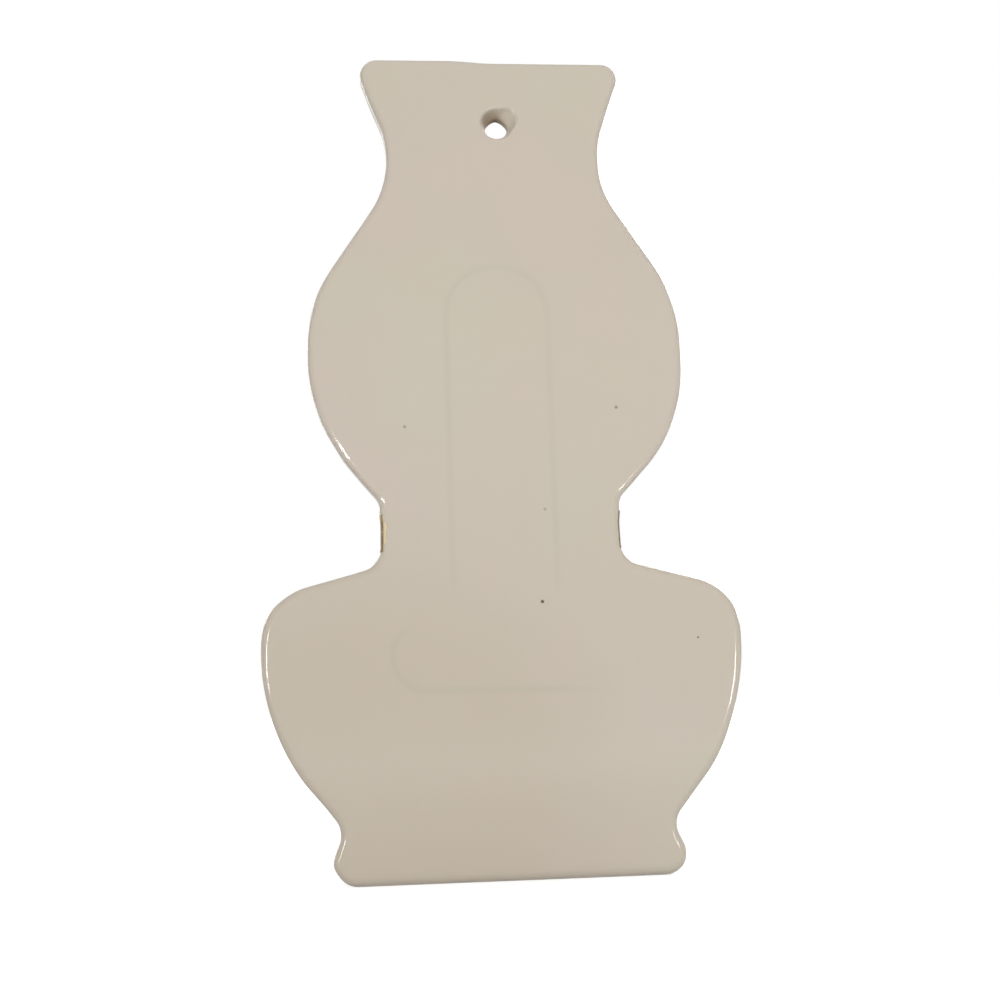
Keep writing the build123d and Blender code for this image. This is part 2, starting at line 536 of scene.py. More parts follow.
def edge_rings(shell, back_edge, front_edge):
    """Rings round the slab's edge: the rounded back, the straight side and the rounded front."""
    side_end = slab_thickness - front_edge_round
    ring = back_edge
    for inset, depth in edge_curve[1:]:
        spots = loop_points - loop_outward * (loop_rounds * inset)[:, None]
        ring = shell.grow(ring, [(*spot, radius * depth) for spot, radius in zip(spots, loop_rounds)])
    for share in side_shares:
        depths = loop_rounds * edge_depth + (side_end - loop_rounds * edge_depth) * share
        ring = shell.grow(ring, [(*spot, deep) for spot, deep in zip(loop_points, depths)])
    for turn in front_edge_turns:
        spots = loop_points - loop_outward * front_edge_round * (1 - cos(turn))
        ring = shell.grow(ring, [(*spot, side_end + front_edge_round * sin(turn)) for spot in spots])
    shell.bridge(ring, front_edge)


def build_slab():
    """The slab as one closed body."""
    shell = Shell(slab_bend)
    back_edge, back_square, back_places = face_grid(shell, side_rounds * edge_reach, 0)
    front_edge, front_square, front_places = face_grid(shell, np.full(rows, front_edge_round), slab_thickness)
    edge_rings(shell, back_edge, front_edge)
    profile = hole_profile()
    ring, angles = rings_to_hole(shell, back_square, back_places, *profile[0])
    for radius, deep in profile[1:]:
        ring = shell.grow(ring, [hole_spot(angle, radius, deep) for angle in angles])
    front_radius = profile[-1][0] + front_rim
    front_ring, _ = rings_to_hole(shell, front_square, front_places, front_radius, slab_thickness)
    shell.bridge(ring, front_ring)
    return make_piece("back_slab", shell)


back_slab = build_slab()
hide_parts("back_plate")
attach(back_slab, "root")

# %% [markdown]
# ## The half-round front
# The front is a hollow half of a turned gourd, flattened to about six tenths of its half width. Its
# section at any level is half an ellipse, and its wall is as thick in front as at the sides, because
# the hollow inside is the same half ellipse, made smaller and moved back. Where it meets the slab, the
# potter smoothed a little slip into the corner, so the wall runs out into the slab in a small curve.

# %% One half-round ring
depth_share = 0.62
set_back = wall * (1 - depth_share)
slip_curve = 1.1
front_columns = 132
close_depths = np.array((0.0, 0.12, 0.3, 0.55, 0.85, 1.2, 1.8, 2.8))


def half_ring(half, up, back=0.0, depth=None, slip=0.0, lean=0.0):
    """Across, up and deep round a half ellipse, from the right end to the left.

    half and up may differ from point to point. The first and last few points lie at the same small
    depths in every ring, where slip widens the ring so that it runs out on the slab.
    """
    half = np.broadcast_to(np.asarray(half, float), (front_columns + 1,))
    up = np.broadcast_to(np.asarray(up, float), (front_columns + 1,))
    depth = half * depth_share if depth is None else np.broadcast_to(depth, half.shape)
    count = len(close_depths)
    angle = np.empty(front_columns + 1)
    angle[:count] = np.arcsin((close_depths + back) / depth[:count])
    angle[-count:] = pi - np.arcsin((close_depths[::-1] + back) / depth[-count:])
    shares = np.linspace(0, 1, front_columns + 3 - 2 * count)
    first, last = angle[count - 1], angle[-count]
    angle[count - 1:front_columns + 2 - count] = first + (last - first) * shares
    forward = depth * np.sin(angle) - back
    near = np.clip(slip - forward, 0, slip)
    spread = slip - np.sqrt(slip ** 2 - near ** 2)
    across = half * np.cos(angle)
    across = across + np.sign(across) * spread * np.cos(lean)
    return np.stack([across, up + spread * np.sin(lean), slab_thickness + forward], axis=1)


example = half_ring(50.0, 100.0)
print("a ring 100 mm wide stands", round(example[:, 2].max() - slab_thickness, 1), "mm in front of the slab")

# %% [markdown]
# ## The sloping mouth
# The mouth is cut on a slope, from 12 mm below the top of the slab down to the front, so the rim's
# height depends on how far forward the wall stands there, and that again depends on the height, because
# the neck flares. A few rounds of guessing settle it. Just under the rim the wall thickens to a bead.

# %% Rings of the wall and of the hollow
rim_drop = 12.0
rim_up = total_height - rim_drop
rim_slope = radians(30)
lip_height = 7.0
lip_bead = 1.2
bead_fade = 2.4
lip_round = 2.4
lip_fall = lip_round / cos(rim_slope)
neck_rows = 26
floor_top = 12.0
floor_curve = 3.0
rim_guesses = 12
slip_growth = 3
lean_limit = 0.8


def rim_level(side, back, bead):
    """Level of each point of the ring that lies lip_fall below the rim's slope."""
    level = np.full(front_columns + 1, neck_level)
    for _ in range(rim_guesses):
        ring = half_ring(read_side(side, level) + bead, level, back)
        level = rim_up - lip_fall - (ring[:, 2] - slab_thickness) * tan(rim_slope)
    return level


def bead_out(below_rim):
    """How far the lip's bead stands out from the wall, at a height below the rim."""
    starts = lip_height + bead_fade / 2
    return lip_bead * np.array([smooth_step((starts - height) / bead_fade) for height in below_rim])


def lean_of(upward):
    """Angle at which the wall leans, from how far its outward direction points up."""
    return np.arcsin(np.clip(upward, -lean_limit, lean_limit))


def wall_rings():
    """Outer rings from the base to where the lip's rounding starts."""
    low = wall_side[:, 1] < neck_level
    rings = []
    for (half, up), out in zip(wall_side[low], wall_outward[low]):
        slip = slip_curve * smooth_step(up / foot_height * slip_growth)
        rings.append(half_ring(half, up, slip=slip, lean=lean_of(out[1])))
    start = wall_side[low][-1][1]
    end = rim_level(wall_side, 0.0, lip_bead)
    for share in np.linspace(0, 1, neck_rows + 1)[1:]:
        level = start + (end - start) * share
        half = read_side(wall_side, level)
        forward = half_ring(half, level)[:, 2] - slab_thickness
        half = half + bead_out(rim_up - forward * tan(rim_slope) - level)
        lean = lean_of(np.interp(level, wall_side[:, 1], wall_outward[:, 1]))
        rings.append(half_ring(half, level, slip=slip_curve, lean=lean))
    return rings


def hollow_rings():
    """Inner rings from below the lip down to just above the floor."""
    end = rim_level(hollow_side, set_back, 0.0)
    low = (hollow_side[:, 1] < neck_level) & (hollow_side[:, 1] > floor_top + floor_curve)
    start = hollow_side[low][-1][1]
    rings = []
    for share in np.linspace(1, 0, neck_rows + 1)[:-1]:
        level = start + (end - start) * share
        rings.append(half_ring(read_side(hollow_side, level), level, set_back))
    return rings + [half_ring(half, up, set_back) for half, up in hollow_side[low][::-1]]


outer = wall_rings()
inner = hollow_rings()
print("outer rings", len(outer), "inner rings", len(inner), "rim's lowest", round(outer[-1][:, 1].min(), 1))

# %% [markdown]
# ## Lip, floor and foot
# The wall alone is a tube. The potter rounded its rim with a wet finger, laid it on a floor, and cut a
# recess under the floor so that only a ring touches the shelf. Each of these is a short run of rings
# that goes on where the last one ended, so the whole front stays one skin.

# %% Rings of the lip, the floor and the foot
lip_rings = 11
lip_fullness = 0.85
floor_steps = 5
floor_parts = 12
recess_parts = 10
foot_ring_height = 6.0
foot_ring_wall = 15.0
recess_curve = ((-2.0, 0), (-1.4, 0.1), (-0.6, 0.6), (-0.1, 1.4), (0.0, 2.0))
ring_curve = ((0.0, 2.8), (0.0, 1.5), (0.2, 0.8), (0.7, 0.2), (1.5, 0.0), (2.4, 0.0))


def over_the_lip(last_outer, first_inner):
    """Rings over the rounded lip, from the outer wall to the inner one."""
    middle = (last_outer + first_inner) / 2
    reach = (last_outer - first_inner) / 2
    rise = np.array([0.0, cos(rim_slope), sin(rim_slope)]) * lip_round
    rings = []
    for turn in np.linspace(0, pi, lip_rings + 2)[1:-1]:
        out = np.sign(cos(turn)) * abs(cos(turn)) ** lip_fullness
        rings.append(middle + reach * out + rise * abs(sin(turn)) ** lip_fullness)
    return rings


def shrink(ring, count):
    """Copies of a flat ring that shrink towards the middle of the slab."""
    rings = []
    for share in np.linspace(1, 0, count + 1)[1:-1]:
        rings.append(ring * (share, 1, share) + (0, 0, slab_thickness * (1 - share)))
    return rings


def floor_rings(last_inner):
    """Rings down the curve at the foot of the hollow, and in over the floor."""
    top = last_inner[0][1]
    start, end = read_side(hollow_side, (top, floor_top))
    rings = []
    for share in np.linspace(0, 1, floor_steps + 1)[1:]:
        left = (1 - share) ** 2
        width = start * left + end * 2 * share * (1 - share) + (end - floor_curve) * share ** 2
        rings.append(half_ring(width, top * left + floor_top * (1 - left), set_back))
    return rings + shrink(rings[-1], floor_parts)


def foot_rings():
    """Rings under the floor: out over the recess's ceiling, down its wall and out under the ring."""
    half = foot_width / 2 - ledge
    across, depth = half - foot_ring_wall, half * depth_share - foot_ring_wall
    steps = [(out, foot_ring_height - down) for out, down in recess_curve] + list(ring_curve)
    rings = [half_ring(across + out, up, depth=depth + out) for out, up in steps]
    return shrink(rings[0], recess_parts)[::-1] + rings


lip = over_the_lip(outer[-1], inner[0])
floor_and_curve = floor_rings(inner[-1])
foot = foot_rings()
print("lip", len(lip), "floor", len(floor_and_curve), "foot", len(foot), "rings")

# %% [markdown]
# ## One skin for the front
# All the rings are now bridged in order: from the recess under the foot, up the outside, over the lip,
# and down the inside to the floor. The ends are tucked a little into the slab, as clay that was pressed
# on is, so no gap can open there. A last slow wave makes it look thrown and not turned in steel.

# %% Build the front
hidden_depth = 1.5
throwing_wave = 0.16
throwing_size = 34
throwing_stretch = 2.4
throwing_seed = 7.0
throwing_start = 4


def thrown(ring):
    """Push a ring's points in a little where the clay was thrown thinner."""
    waved = ring.copy()
    for index, (across, up, deep) in enumerate(ring):
        forward = deep - slab_thickness
        level = up * throwing_stretch
        inward = clay_wave(across, level, deep, throwing_size, throwing_wave, throwing_seed)
        inward *= smooth_step(forward / throwing_start)
        length = max(hypot(across, forward), 1.0)
        waved[index] -= np.array([across, 0, forward]) / length * inward
    return waved


def build_front():
    """The front, from the recess under the foot to the floor of the pocket, as one closed body."""
    shell = Shell()
    tucked_in = slab_thickness - hidden_depth

    def add_ring(ring):
        """A ring, with its two ends tucked into the slab."""
        ends = [(*ring[end][:2], tucked_in) for end in (0, -1)]
        return shell.ring([ends[0], *ring, ends[1]])

    def add_middle(up):
        """The last ring of a flat face, run together into one point but for its tucked ends."""
        tucked = shell.point(0.0, up, tucked_in)
        return [tucked] + [shell.point(0.0, up, slab_thickness)] * (front_columns + 1) + [tucked]

    loops = [add_ring(ring) for ring in foot]
    loops += [add_ring(thrown(ring)) for ring in outer]
    loops += [add_ring(ring) for ring in lip + inner + floor_and_curve]
    for first, second in zip(loops, loops[1:]):
        shell.bridge(first, second, closed=False)
    floor_middle = add_middle(floor_top)
    recess_middle = add_middle(foot_ring_height)
    shell.bridge(loops[-1], floor_middle, closed=False)
    shell.bridge(recess_middle, loops[0], closed=False)
    for end in (0, -1):
        shell.face(*[loop[end] for loop in loops], floor_middle[0], recess_middle[0])
    return make_piece("gourd_front", shell)


gourd_front = build_front()
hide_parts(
    "foot_ring", "pocket_floor", "lower_bowl", "waist_collar", "upper_bulb", "neck_collar",
    "mouth_lip",
)
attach(gourd_front, "root")

# %% [markdown]
# ## The gold lustre
# Lustre is painted on the finished glaze and fired once more, at a lower heat. It is thinner than
# paper. Round the waist it runs as a band over the front, over the ledge and the edge of the slab, and
# its brushed ends just reach the back. We build it as a skin that stands hardly a tenth of a millimetre
# proud of the glaze, with ends and borders as uneven as a brush leaves them.

# %% How far the brush reached
lustre_rise = 4.6
lustre_low = waist_level + lustre_rise
lustre_height = 13.2
lustre_proud = 0.08
lustre_sunk = 0.3
lustre_rows = 26
edge_columns = 18
edge_shares = np.linspace(0, 1, len(edge_curve))
left_length, right_length = 2.2, 1.7
belly_length, belly_low, belly_high = 1.15, 1.2, 12.2
low_fade, high_fade = 2.8, 2.6
blot_length, blot_rise, blot_width = 0.6, 9.0, 0.8
bristle_length, left_bristle, right_bristle = 0.2, 1.1, 1.7
right_seed = 9


def left_reach(up):
    """Length of lustre round the back's left edge, seen from behind, at a level."""
    rise = up - lustre_low
    blot = blot_length * np.exp(-((rise - blot_rise) / blot_width) ** 2)
    belly = smooth_step((belly_high - rise) / high_fade) * smooth_step((rise - belly_low) / low_fade)
    bristles = bristle_length * noise.noise(Vector((0, 0, up / left_bristle)))
    return left_length + belly_length * belly + blot + bristles


def right_reach(up):
    """The same at the right edge, where it only just comes round."""
    return right_length + bristle_length * noise.noise(Vector((right_seed, 0, up / right_bristle)))


def edge_spot(up, along, sign):
    """Place on the slab's edge: along is 0 where the side starts, negative round to the back."""
    side_start = side_edge_round * edge_depth
    side_length = slab_thickness - side_start - front_edge_round
    if along < 0:
        share = 1 + along / (side_edge_round * edge_length)
        flat = side_edge_round * edge_length * max(0.0, -share)
        inset = side_edge_round * np.interp(share, edge_shares, edge_curve[:, 0]) + flat
        deep = side_edge_round * np.interp(share, edge_shares, edge_curve[:, 1])
    elif along < side_length:
        inset, deep = 0.0, side_start + along
    else:
        turn = min((along - side_length) / front_edge_round, pi / 2)
        inset = front_edge_round * (1 - cos(turn))
        deep = slab_thickness - front_edge_round * (1 - sin(turn))
    out, tip = (np.interp(up, slab_side[:, 1], slab_outward[:, axis]) for axis in (0, 1))
    return slab_bend(sign * (read_side(slab_side, up) - out * inset), up - tip * inset, deep)


print("lustre reaches", round(left_reach(lustre_low + blot_rise), 1), "mm round the left edge at its widest")

# %% [markdown]
# ## The band as a thin skin
# A band this thin could be painted in the material of the glaze, but then the gold would have no edge
# of its own to catch the light. Two sheets of points, one just above the glaze and one just under it,
# are closed along their borders. The brush wanders, so the borders do too.

# %% Build the band
brush_wander, wander_columns = 0.5, 7
brush_shake, shake_columns, shake_seed = 0.3, 2, 5
low_seed, high_seed = 3.0, 8.0


def border(column, seed):
    """How far the band's border strays at a column."""
    slow = noise.noise(Vector((column / wander_columns, seed, 0)))
    quick = noise.noise(Vector((column / shake_columns, seed, shake_seed)))
    return brush_wander * slow + brush_shake * quick


def edge_row(levels, shares, reach, length, sign):
    """Places along one edge of the slab, from the brushed end to where the front starts."""
    return [
        edge_spot(level, -reach(level) + (length + reach(level)) * share, sign)
        for level, share in zip(levels, shares)
    ]


def band_row(share):
    """Places along one row of the band, from its end at the left of the back, seen from behind."""
    count = 2 * (edge_columns - 1) + front_columns + 1
    lows = np.array([lustre_low + border(column, low_seed) for column in range(count)])
    highs = np.array([lustre_low + lustre_height + border(column, high_seed) for column in range(count)])
    up = lows + (highs - lows) * share
    edge_end = slab_thickness - side_edge_round * edge_depth - front_edge_round + front_edge_round * pi / 2
    shares = np.linspace(0, 1, edge_columns)[:-1]
    front = up[edge_columns - 1:1 - edge_columns]
    ring = half_ring(read_side(wall_side, front), front, slip=slip_curve)
    first = edge_row(up, shares, left_reach, edge_end, 1)
    last = edge_row(up[::-1], shares, right_reach, edge_end, -1)
    return np.vstack([first, thrown(ring), last[::-1]])


def build_band():
    """The band as one closed body, between a sheet above the glaze and one under it."""
    grid = np.array([band_row(share) for share in np.linspace(0, 1, lustre_rows + 1)])
    along = np.gradient(grid, axis=1)
    upward = np.gradient(grid, axis=0)
    normal = np.cross(along, upward)
    normal /= np.linalg.norm(normal, axis=2)[:, :, None]
    if normal[lustre_rows // 2, grid.shape[1] // 2, 2] < 0:
        normal = -normal
    shell = Shell()
    top = [shell.ring(row) for row in grid + normal * lustre_proud]
    under = [shell.ring(row) for row in grid - normal * lustre_sunk]
    for sheet in (top, under):
        for first, second in zip(sheet, sheet[1:]):
            shell.bridge(first, second, closed=False)
    shell.bridge(top[0], under[0], closed=False)
    shell.bridge(under[-1], top[-1], closed=False)
    shell.bridge([row[0] for row in top], [row[0] for row in under], closed=False)
    shell.bridge([row[-1] for row in under], [row[-1] for row in top], closed=False)
    return make_piece("lustre_band", shell)


lustre_band = build_band()
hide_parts("gold_waist_band")
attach(lustre_band, "root")

# %% [markdown]
# ## Effects that the finishes share
# A shader node group is a small machine with named inputs and outputs. We build each effect once, and
# place it in every material that needs it. A few helpers come first: they add a node, fill its inputs
# with numbers or with what another node puts out, and hand on its result.

# %% Helpers for nodes
measuring = ("DISTANCE", "DOT_PRODUCT", "LENGTH")
first_colour, second_colour = 6, 7


def fill(tree, socket, value):
    """Link a socket to what another node puts out, or set its value."""
    if isinstance(value, bpy.types.NodeSocket):
        tree.links.new(value, socket)
    else:
        socket.default_value = value


def add_node(tree, kind, settings=None, **inputs):
    """Node with its settings, and its inputs filled by name."""
    node = tree.nodes.new(kind)
    for label, value in (settings or {}).items():
        setattr(node, label, value)
    for label, value in inputs.items():
        fill(tree, node.inputs[label.replace("_", " ")], value)
    return node


def add_math(tree, operation, *values, clamp=False):
    """Result of a sum with one, two or three values."""
    node = add_node(tree, "ShaderNodeMath", {"operation": operation, "use_clamp": clamp})
    for socket, value in zip(node.inputs, values):
        fill(tree, socket, value)
    return node.outputs[0]


def add_vector_math(tree, operation, *values):
    """Result of a sum with vectors: a number where it measures something, or else a vector."""
    node = add_node(tree, "ShaderNodeVectorMath", {"operation": operation})
    for socket, value in zip(node.inputs, values):
        fill(tree, socket, value)
    return node.outputs["Value" if operation in measuring else "Vector"]


def add_range(tree, value, start, end, low=0.0, high=1.0, soft=True):
    """Value that goes from low at start to high at end, softly or straight."""
    ramp = {"interpolation_type": "SMOOTHSTEP" if soft else "LINEAR"}
    ends = {"From_Min": start, "From_Max": end, "To_Min": low, "To_Max": high}
    return add_node(tree, "ShaderNodeMapRange", ramp, Value=value, **ends).outputs[0]


def mix_in(tree, colour, other, amount):
    """Colour with an amount of another one mixed in. A mix node has its two colours at fixed places."""
    mix = add_node(tree, "ShaderNodeMix", {"data_type": "RGBA"}, Factor=amount)
    fill(tree, mix.inputs[first_colour], colour)
    fill(tree, mix.inputs[second_colour], other)
    return mix.outputs[2]


print("sums that measure:", measuring)

# %% [markdown]
# ## Starting and using a group
# Each group has several inputs, with a value to fall back on, and one result. The kind of each input
# follows from that value: one number, three for a place, or four for a colour.

# %% Helpers for groups
frame_origin = (0.0, 0.0, 0.0)


def new_group(name, result, kind, **inputs):
    """Empty node group, with the sockets it is given and the socket of its result."""
    group = bpy.data.node_groups.new(name, "ShaderNodeTree")
    for label, value in inputs.items():
        size = 1 if isinstance(value, float) else len(value)
        sort = {1: "NodeSocketFloat", 3: "NodeSocketVector", 4: "NodeSocketColor"}[size]
        group.interface.new_socket(name=label, in_out="INPUT", socket_type=sort).default_value = value
    group.interface.new_socket(name=result, in_out="OUTPUT", socket_type=kind)
    return group, group.nodes.new("NodeGroupInput").outputs, group.nodes.new("NodeGroupOutput").inputs


def use_group(tree, group, **inputs):
    """Result of a group placed in a material, with the material's own values."""
    return add_node(tree, "ShaderNodeGroup", {"node_tree": group}, **inputs).outputs[0]


print("a group's places start at", frame_origin)

# %% [markdown]
# ## Clouds of tone
# A glaze is never one colour: where it ran thin the clay warms it, and where it pooled it goes cooler.
# Two slow noises choose where, one for the thin places and one for the pooled ones. The gold uses the
# same group with its own colours, because lustre varies in the same way.

# %% Clouds of tone
cloud_edges = (0.38, 0.66)
cloud_shift = (3.1, 1.7, 0.4)


def build_glaze_clouds():
    """Group that clouds a tone with a thin and a pooled one. Size is in millimetres."""
    group, given, result = new_group(
        "glaze_clouds", "Color", "NodeSocketColor", Place=frame_origin, Tone=(0.55, 0.50, 0.42, 1),
        Thin=(0.55, 0.48, 0.40, 1), Pooled=(0.53, 0.50, 0.41, 1), Size=40.0, Strength=0.5,
    )
    scale = add_math(group, "DIVIDE", 1 / MM, given["Size"])
    shifted = add_vector_math(group, "ADD", given["Place"], cloud_shift)
    colour = given["Tone"]
    for name, spot, detail in (("Thin", given["Place"], 2.0), ("Pooled", shifted, 1.0)):
        cloud = add_node(group, "ShaderNodeTexNoise", Vector=spot, Scale=scale, Detail=detail).outputs[0]
        share = add_math(group, "MULTIPLY", add_range(group, cloud, *cloud_edges), given["Strength"])
        colour = mix_in(group, colour, given[name], share)
    fill(group, result["Color"], colour)
    return group


glaze_clouds = build_glaze_clouds()
print("built", glaze_clouds.name)

# %% [markdown]
# ## Soft spots
# Pinholes, the brown patch of bare clay and painted shade in the hanging hole, and a broad patch of
# painted shade low on the back are all round spots with a soft border. One group makes them all: it
# measures how far a place is from a centre, frays that distance a little with noise, and turns it into a
# mask.

# %% Soft spots
fray_scale = 2200.0
spot_outside = 1.25
spot_inside = 0.6


def build_soft_spot():
    """Group that masks a round spot. Radius is in millimetres."""
    group, given, result = new_group(
        "soft_spot", "Mask", "NodeSocketFloat", Place=frame_origin, Centre=frame_origin, Radius=0.5, Fray=0.3,
    )
    gap = add_vector_math(group, "DISTANCE", given["Place"], given["Centre"])
    share = add_math(group, "DIVIDE", gap, add_math(group, "MULTIPLY", given["Radius"], MM))
    fray = add_node(group, "ShaderNodeTexNoise", Vector=given["Place"], Scale=fray_scale, Detail=1.0)
    wander = add_math(group, "MULTIPLY_ADD", fray.outputs[0], given["Fray"], share)
    fill(group, result["Mask"], add_range(group, wander, spot_outside, spot_inside))
    return group


soft_spot = build_soft_spot()
print("built", soft_spot.name)

# %% [markdown]
# ## Faint lines of painted shade
# The back shows a narrow loop up the middle and part of a wide one low down, hardly darker than the
# glaze. Each is the border of a strip with round ends: every place whose distance from a straight run
# is the same. A plane cuts the loop off where the photograph shows none, and the line fades out there.
# Both lines are painted shade: a darker olive that stands in for the shading along faint grooves in the back.

# %% A faint line of painted shade
line_fade = 0.012


def build_groove_shade_line():
    """Group that masks the border of a strip with round ends. Radius and Half are in millimetres."""
    group, given, result = new_group(
        "groove_shade_line", "Mask", "NodeSocketFloat", Place=frame_origin, Start=frame_origin,
        End=(0.0, 0.0, 0.1), Radius=18.0, Half=1.2, Cut=frame_origin, Keep=(0.0, 0.0, 1.0),
    )
    run = add_vector_math(group, "SUBTRACT", given["End"], given["Start"])
    away = add_vector_math(group, "SUBTRACT", given["Place"], given["Start"])
    forward = add_vector_math(group, "DOT_PRODUCT", away, run)
    share = add_math(group, "DIVIDE", forward, add_vector_math(group, "DOT_PRODUCT", run, run), clamp=True)
    nearest = add_node(group, "ShaderNodeVectorMath", {"operation": "SCALE"}, Vector=run, Scale=share)
    gap = add_vector_math(group, "DISTANCE", away, nearest.outputs["Vector"])
    off = add_math(group, "SUBTRACT", add_math(group, "DIVIDE", gap, MM), given["Radius"])
    line = add_range(group, add_math(group, "ABSOLUTE", off), given["Half"], 0.0)
    past = add_vector_math(group, "SUBTRACT", given["Place"], given["Cut"])
    inwards = add_vector_math(group, "DOT_PRODUCT", past, given["Keep"])
    fade = add_range(group, inwards, 0.0, line_fade)
    fill(group, result["Mask"], add_math(group, "MULTIPLY", line, fade))
    return group


groove_shade_line = build_groove_shade_line()
print("built", groove_shade_line.name)

# %% [markdown]
# ## The glaze's skin
# Molten glaze levels itself but never quite. A broad ripple and a fine grain, both very low, are added
# up into a height. The material's Bump node turns it into small tilts, which break up the reflections.

# %% The glaze's skin
skin_weights = (("Ripple", 0.8), ("Grain", 0.12))


def build_glaze_skin():
    """Group that gives the height of the glaze's unevenness. Ripple and Grain are in millimetres."""
    group, given, result = new_group(
        "glaze_skin", "Height", "NodeSocketFloat", Place=frame_origin, Ripple=9.0, Grain=1.6,
    )
    parts = []
    for name, weight in skin_weights:
        scale = add_math(group, "DIVIDE", 1 / MM, given[name])
        bumps = add_node(group, "ShaderNodeTexNoise", Vector=given["Place"], Scale=scale, Detail=1.0)
        parts.append(add_math(group, "MULTIPLY", bumps.outputs[0], weight))
    fill(group, result["Height"], add_math(group, "ADD", *parts))
    return group


glaze_skin = build_glaze_skin()
print("built", glaze_skin.name)

# %% [markdown]
# ## The cream glaze
# The glaze is a glossy glass, a little clouded and warm. It is built as one Principled shader whose
# colour comes from the clouds, and whose gloss is high. First come its colours, then the marks that the
# back alone has: a broad patch of painted shade low on the left, two faint lines of painted shade, five
# pinholes, and the bare clay in the hole with painted shade over it.

# %% Colours and marks of the glaze
cream = (0.560, 0.497, 0.415, 1)
thin_cream = (0.572, 0.488, 0.412, 1)
pooled_cream = (0.545, 0.500, 0.395, 1)
# Painted shade: a darker, warmer cream for a broad patch low on the back's left, seen from behind.
painted_shade_cream = (0.540, 0.472, 0.380, 1)
# Painted shade: a darker olive for two faint lines, standing in for the shading along faint grooves.
groove_painted_shade = (0.44, 0.42, 0.33, 1)
speck_brown = (0.10, 0.065, 0.04, 1)
# Brown of bare clay, which also serves as painted shade on the hole's upper wall.
bare_clay_and_shade = (0.33, 0.26, 0.19, 1)
cream_cloud, cream_cloud_strength = 50.0, 0.5
cream_ripple, cream_grain = 11.0, 1.8
glossy, dull_rough = 0.1, 0.75
# Centre, radius and fray of that broad patch of painted shade.
low_shade_spot, low_shade_radius, low_shade_fray = (42, 35, 0), 80.0, 0.05
line_half = 2.1
groove_shade_marks = [
    ((-0.3, 201), (-0.9, 90), 18.6, (0, 95), (0, 1), 0.22),
    ((27.5, 78), (-42, 77), 12.0, (32, 91), (0.336, -0.942), 0.34),
]
speck_deep, speck_fray, speck_dimple = 0.1, 0.35, -3.0
back_pinholes = [
    (34.0, 159.9, 0.75, 0.45),
    (-43.0, 166.2, 0.75, 0.6),
    (-13.7, 96.1, 0.8, 1.0),
    (-69.1, 82.1, 0.45, 0.9),
    (-15.7, 129.2, 0.7, 0.35),
]
# The brown spot sits up and to the left in the hole, seen from behind, where its upper wall is in shade: bare
# clay and painted shade.
bare_clay_shade_spot = (hole_across + 2.6, hole_up + 1.6, 5.4)
bare_clay_shade_radius, bare_clay_shade_fray = 6.4, 0.35
dull_spot = (hole_across, hole_up, 4.8)
dull_radius, dull_fray = 7.6, 0.1
print("pinholes:", len(back_pinholes), " faint lines:", len(groove_shade_marks))

# %% [markdown]
# ## Marks, one over the other
# Each mark is mixed into the colour that the marks before it left, so their order matters: broad painted
# shade first, small dark ones last. A pinhole is also a dimple, so it lowers the height. The bare clay in the
# hole is dull, so there the gloss gives way to a rough skin; its brown is partly painted shade.

# %% Marks of the back
def spot_mask(tree, spot, centre, radius, fray):
    """Mask of a soft spot, with its centre and radius in bench millimetres."""
    return use_group(tree, soft_spot, Place=spot, Centre=place(*centre), Radius=radius, Fray=fray)


def add_painted_shades(tree, spot, colour):
    """Colour with a broad patch of painted shade and two faint lines of painted shade."""
    # A broad patch of painted shade, darker low on the back's left.
    low_shade = spot_mask(tree, spot, low_shade_spot, low_shade_radius, low_shade_fray)
    colour = mix_in(tree, colour, painted_shade_cream, low_shade)
    # Each faint line is painted shade along a faint groove.
    for start, end, radius, cut, keep, strength in groove_shade_marks:
        mark = use_group(
            tree, groove_shade_line, Place=spot, Start=place(*start, 0), End=place(*end, 0), Radius=radius,
            Half=line_half, Cut=place(*cut, 0), Keep=(keep[0], 0, keep[1]),
        )
        colour = mix_in(tree, colour, groove_painted_shade, add_math(tree, "MULTIPLY", mark, strength))
    return colour


def add_pinholes(tree, spot, colour, height):
    """Colour and height with the pinholes."""
    for across, up, radius, depth in back_pinholes:
        hole = spot_mask(tree, spot, (across, up, speck_deep), radius, speck_fray)
        shade = add_math(tree, "MULTIPLY", hole, depth)
        colour = mix_in(tree, colour, speck_brown, shade)
        height = add_math(tree, "MULTIPLY_ADD", shade, speck_dimple, height)
    return colour, height


def add_bare_clay_and_shade(tree, spot, colour):
    """Colour and roughness with the bare, dull clay in the hanging hole, whose brown is partly painted shade.
    """
    # Brown in the hole: partly bare clay, partly painted shade on the upper wall.
    bare = spot_mask(tree, spot, bare_clay_shade_spot, bare_clay_shade_radius, bare_clay_shade_fray)
    dull = spot_mask(tree, spot, dull_spot, dull_radius, dull_fray)
    rough = add_range(tree, dull, 0.0, 1.0, glossy, dull_rough, soft=False)
    return mix_in(tree, colour, bare_clay_and_shade, bare), rough


print("bare clay at", [round(value, 1) for value in bare_clay_shade_spot])

# %% [markdown]
# ## Dressing the clay
# The back and the front have the same glaze, but only the back has the marks, so there are two
# materials from one function. The bump is very low: a glaze looks wavy long before it looks rough.

# %% Cream glaze
glass_bend = 1.5
bump_height = 0.00005
glaze_bump = 0.25


def new_material(name):
    """Material with its tree, its shader and the place on the vase."""
    material = bpy.data.materials.new(name)
    material.use_nodes = True
    tree = material.node_tree
    spot = add_node(tree, "ShaderNodeTexCoord").outputs["Object"]
    return material, tree, tree.nodes["Principled BSDF"], spot


